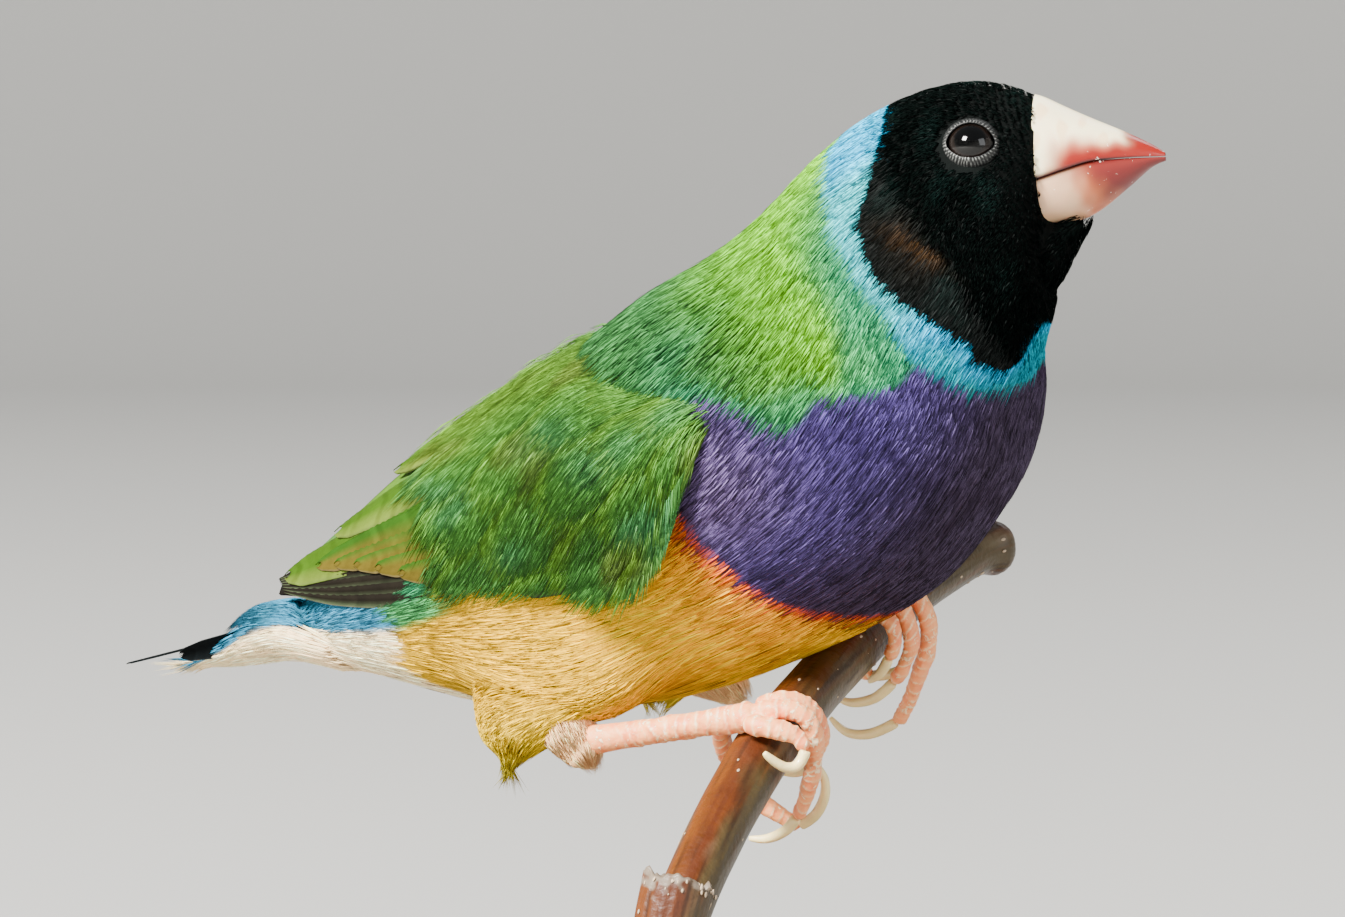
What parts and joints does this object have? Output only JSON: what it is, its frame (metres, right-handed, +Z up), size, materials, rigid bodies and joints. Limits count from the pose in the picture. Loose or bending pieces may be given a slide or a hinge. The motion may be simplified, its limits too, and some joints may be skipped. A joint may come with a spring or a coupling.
{
  "type": "gouldian finch model",
  "caption": "Life-size still model of a male Gouldian finch gripping a short cut perch, held over a round base by a rod.",
  "frame": {"origin": "centre of the stand base's underside", "axes": "+X the way the bird faces, +Y its left side, +Z up"},
  "size_m": [0.1107, 0.096, 0.1055],
  "materials": {
    "mask_black": "velvety black feathers of the mask and bib",
    "nape_green": "soft yellow-green feathers with a sky-blue collar",
    "breast_purple": "soft purple breast feathers over a golden belly",
    "wing_green": "green wing feathers, olive at the rear with brown flight feathers",
    "tail_blue": "blue and white coverts with black tail feathers",
    "belly_gold": "soft golden belly feathers",
    "bill_ivory": "ivory horn with a coral edge and tip",
    "bill_coral": "coral red horn, paler at the base",
    "eye_dark": "wet dark brown eye",
    "leg_pink": "pale pink scaly skin",
    "claw_cream": "cream horn",
    "bark_brown": "glossy red-brown bark with pale dots",
    "stand_wood": "dark satin wood",
    "stand_steel": "brushed steel"
  },
  "bodies": {
    "root": {"head": "mask_black", "neck": "nape_green", "torso": "breast_purple", "wing_right": "wing_green", "wing_left": "wing_green", "tail": "tail_blue", "thigh_right": "belly_gold", "thigh_left": "belly_gold", "bill_upper": "bill_ivory", "bill_lower": "bill_coral", "eye_right": "eye_dark", "eye_left": "eye_dark", "leg_right": "leg_pink", "leg_left": "leg_pink", "perch": "bark_brown", "stand_base": "stand_wood", "stand_rod": "stand_steel", "claw_right_1": "claw_cream", "claw_right_2": "claw_cream", "claw_right_3": "claw_cream", "claw_right_4": "claw_cream", "claw_left_1": "claw_cream", "claw_left_2": "claw_cream", "claw_left_3": "claw_cream", "claw_left_4": "claw_cream"}
  },
  "joints": []
}
